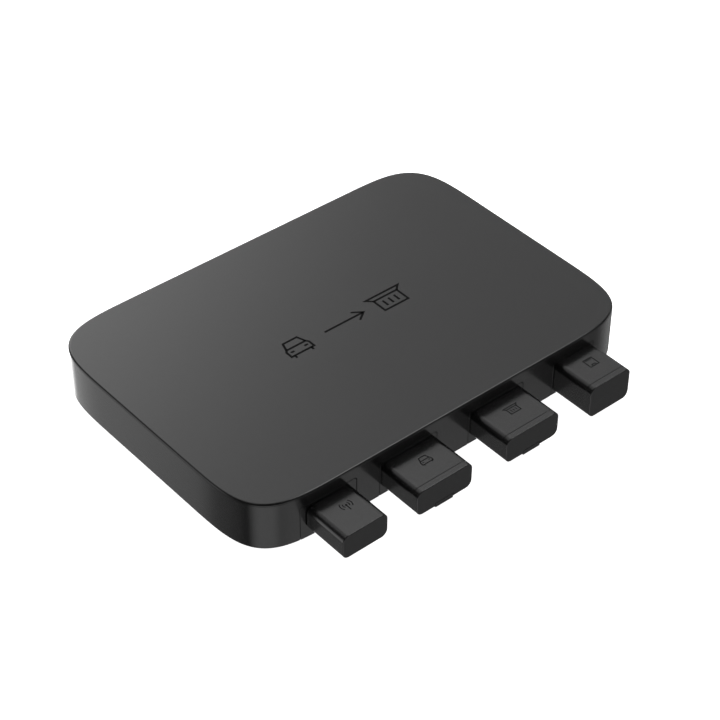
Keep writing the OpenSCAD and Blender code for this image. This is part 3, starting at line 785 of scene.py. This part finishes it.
def comms_icon():
    """A modular data socket from the front."""
    key = [(-1.3, -3.4), (-1.3, -2.0), (1.3, -2.0), (1.3, -3.4)]
    contacts = [([(x, 3.4), (x, 1.8)], False) for x in (-1.8, -0.6, 0.6, 1.8)]
    return icon("comms", [(box_outline(-3.4, -3.4, 3.4, 3.4), True), (key, False), *contacts])


def cover_print():
    """A pictogram of what the charger does: a vehicle, an arrow and a power station."""
    arrow = [([(-15, 0), (15, 0)], False), ([(9, 4.5), (15.5, 0), (9, -4.5)], False)]
    drawn = (scaled(vehicle_strokes(), PRINT_SCALE, -PRINT_OUT) + arrow
             + scaled(station_strokes(), PRINT_SCALE, PRINT_OUT))
    piece = drawing("cover_print", Vector((0, 0, TOP - PRINT_RISE)), PRINT_LINE, drawn)
    return dress(piece, "casing_metal", "casing", material=INK)


# ---- stage ----

def stage_sheet(name, bm):
    """A plain pale sheet of the stage; it is bright by itself, and never shades the object."""
    sheet = new_piece(name, bm)
    made = Shading(f"{name}_paint", STAGE_PALE, 0.8, specular=0.1)
    made.shader.inputs["Emission Color"].default_value = (1, 1, 1, 1)
    made.shader.inputs["Emission Strength"].default_value = STAGE_GLOW
    sheet.data.materials.append(made.material)
    sheet.visible_glossy = False
    sheet.visible_shadow = False
    return sheet


def floor():
    """The floor that the object stands on."""
    bm = bmesh.new()
    corners = box_outline(-STAGE_HALF, -STAGE_HALF, STAGE_HALF, STAGE_HALF)
    bm.faces.new([bm.verts.new((x, y, cad_lo.z)) for x, y in corners])
    stage_sheet("floor", bm)


def backdrop():
    """A wall round the floor that only the camera sees, so that low views end in the same white."""
    bm = bmesh.new()
    outline = circle(0, 0, BACKDROP_RADIUS, 36)
    low = [bm.verts.new((x, y, cad_lo.z)) for x, y in outline]
    high = [bm.verts.new((x, y, STAGE_HALF)) for x, y in outline]
    for i in range(len(outline)):
        bm.faces.new((low[i - 1], low[i], high[i], high[i - 1]))
    wall = stage_sheet("backdrop", bm)
    wall.visible_diffuse = False
    wall.visible_transmission = False
    wall.data.materials[0].cycles.emission_sampling = "NONE"


def direction(azimuth, elevation):
    """Unit vector from the object: azimuth 0 is towards -Y and 90 towards +X."""
    a, e = math.radians(azimuth), math.radians(elevation)
    return Vector((math.sin(a) * math.cos(e), -math.cos(a) * math.cos(e), math.sin(e)))


def surroundings(lamps, fill):
    """Soft lamps far away all round: each is brightest at its middle and fades out to its spread."""
    world = bpy.data.worlds.new("surroundings")
    world.use_nodes = True
    world.cycles.sampling_method = "NONE"
    tree = world.node_tree
    background = tree.nodes["Background"]
    background.inputs["Color"].default_value = (1, 1, 1, 1)
    place = tree.nodes.new("ShaderNodeTexCoord").outputs["Generated"]
    total = None
    for azimuth, elevation, spread, strength in lamps:
        cosine = tree.nodes.new("ShaderNodeVectorMath")
        cosine.operation = "DOT_PRODUCT"
        cosine.inputs[1].default_value = direction(azimuth, elevation)
        fade = tree.nodes.new("ShaderNodeMapRange")
        fade.interpolation_type = "SMOOTHSTEP"
        fade.inputs["From Min"].default_value = math.cos(math.radians(spread))
        fade.inputs["To Max"].default_value = strength
        tree.links.new(place, cosine.inputs[0])
        tree.links.new(cosine.outputs["Value"], fade.inputs["Value"])
        add = tree.nodes.new("ShaderNodeMath")
        add.inputs[0].default_value = fill
        if total:
            tree.links.new(total, add.inputs[0])
        tree.links.new(fade.outputs["Result"], add.inputs[1])
        total = add.outputs["Value"]
    tree.links.new(total, background.inputs["Strength"])
    bpy.context.scene.world = world


def camera():
    """The product camera: a long lens that looks down from beyond the left front corner."""
    a, roll = math.radians(AZIMUTH), math.radians(ROLL)
    back = direction(AZIMUTH, ELEVATION)
    right = Vector((math.cos(a), math.sin(a), 0))
    up = back.cross(right)
    rolled_right = right * math.cos(roll) + up * math.sin(roll)
    rolled_up = up * math.cos(roll) - right * math.sin(roll)
    data = bpy.data.cameras.new("camera")
    data.sensor_width = 36
    data.lens = 103.3
    data.clip_start, data.clip_end = 0.05, 60
    shooter = bpy.data.objects.new("camera", data)
    turn = Matrix((rolled_right, rolled_up, back)).transposed()
    shooter.matrix_world = Matrix.Translation(TARGET + back * DISTANCE) @ turn.to_4x4()
    bpy.context.scene.collection.objects.link(shooter)
    bpy.context.scene.camera = shooter


def dress_nodes():
    """Gives each CAD node the material of its slot, and rounds its edges."""
    slot_of = {row["node"]: row["material_slot"] for row in frame["record"]["subparts"]}
    for node, part in frame["nodes"].items():
        part.data.materials.clear()
        part.data.materials.append(MATERIALS[slot_of[node]])
        weld(part)
        soften(part, EDGE_ROUND.get(node, PLAIN_EDGE))
    for port in LATCHED:
        matt_end(frame["nodes"][f"{port}_latch"])


# ---- build ----

camera()
floor()
backdrop()
surroundings(LAMPS, FILL)
dress_nodes()

cover_shell()
frame_shell()
bottom_plate()
for port in PORTS:
    bezel(port)
antenna_cap()
for port in PORTS[1:]:
    cap_shell(port)
    cap_end(port)
antenna_icon()
icon("vehicle", scaled(vehicle_strokes(), VEHICLE_SCALE, 0))
icon("station", station_strokes())
comms_icon()
cover_print()

bpy.context.scene.view_settings.view_transform = "Standard"
